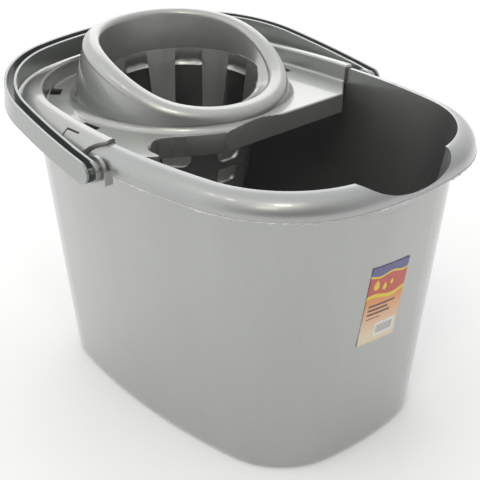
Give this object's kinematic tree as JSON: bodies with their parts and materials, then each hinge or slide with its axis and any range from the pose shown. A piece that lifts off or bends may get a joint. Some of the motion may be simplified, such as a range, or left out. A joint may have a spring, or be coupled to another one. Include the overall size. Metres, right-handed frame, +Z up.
{
  "type": "mop bucket",
  "caption": "Plastic household mop bucket with a rolled rim, pouring spout, clip-on cone wringer with slotted basket, and a bail handle that swings on side ears.",
  "frame": {"origin": "on the floor, under the middle of the bounding box", "axes": "+X towards the pouring spout, +Z up, +Y to the left when facing the spout's way"},
  "size_m": [0.3778, 0.3078, 0.2853],
  "materials": {
    "bucket_plastic": "injection-moulded polypropylene, silver-grey with a pearl pigment, satin gloss",
    "wringer_plastic": "injection-moulded polypropylene, silver-grey with a pearl pigment, satin gloss",
    "handle_plastic": "injection-moulded polypropylene, silver-grey with a pearl pigment, satin gloss",
    "label_paper": "printed paper, semi-gloss varnish"
  },
  "bodies": {
    "bucket": {"bucket": "bucket_plastic", "wringer": "wringer_plastic", "label": "label_paper"},
    "handle": {"handle": "handle_plastic"}
  },
  "joints": [
    {"name": "handle_hinge", "type": "hinge", "parent": "bucket", "child": "handle", "pos_m": [0.0099, 0, 0.2315], "axis": [0, 1, 0], "range_deg": [0, 164]}
  ]
}
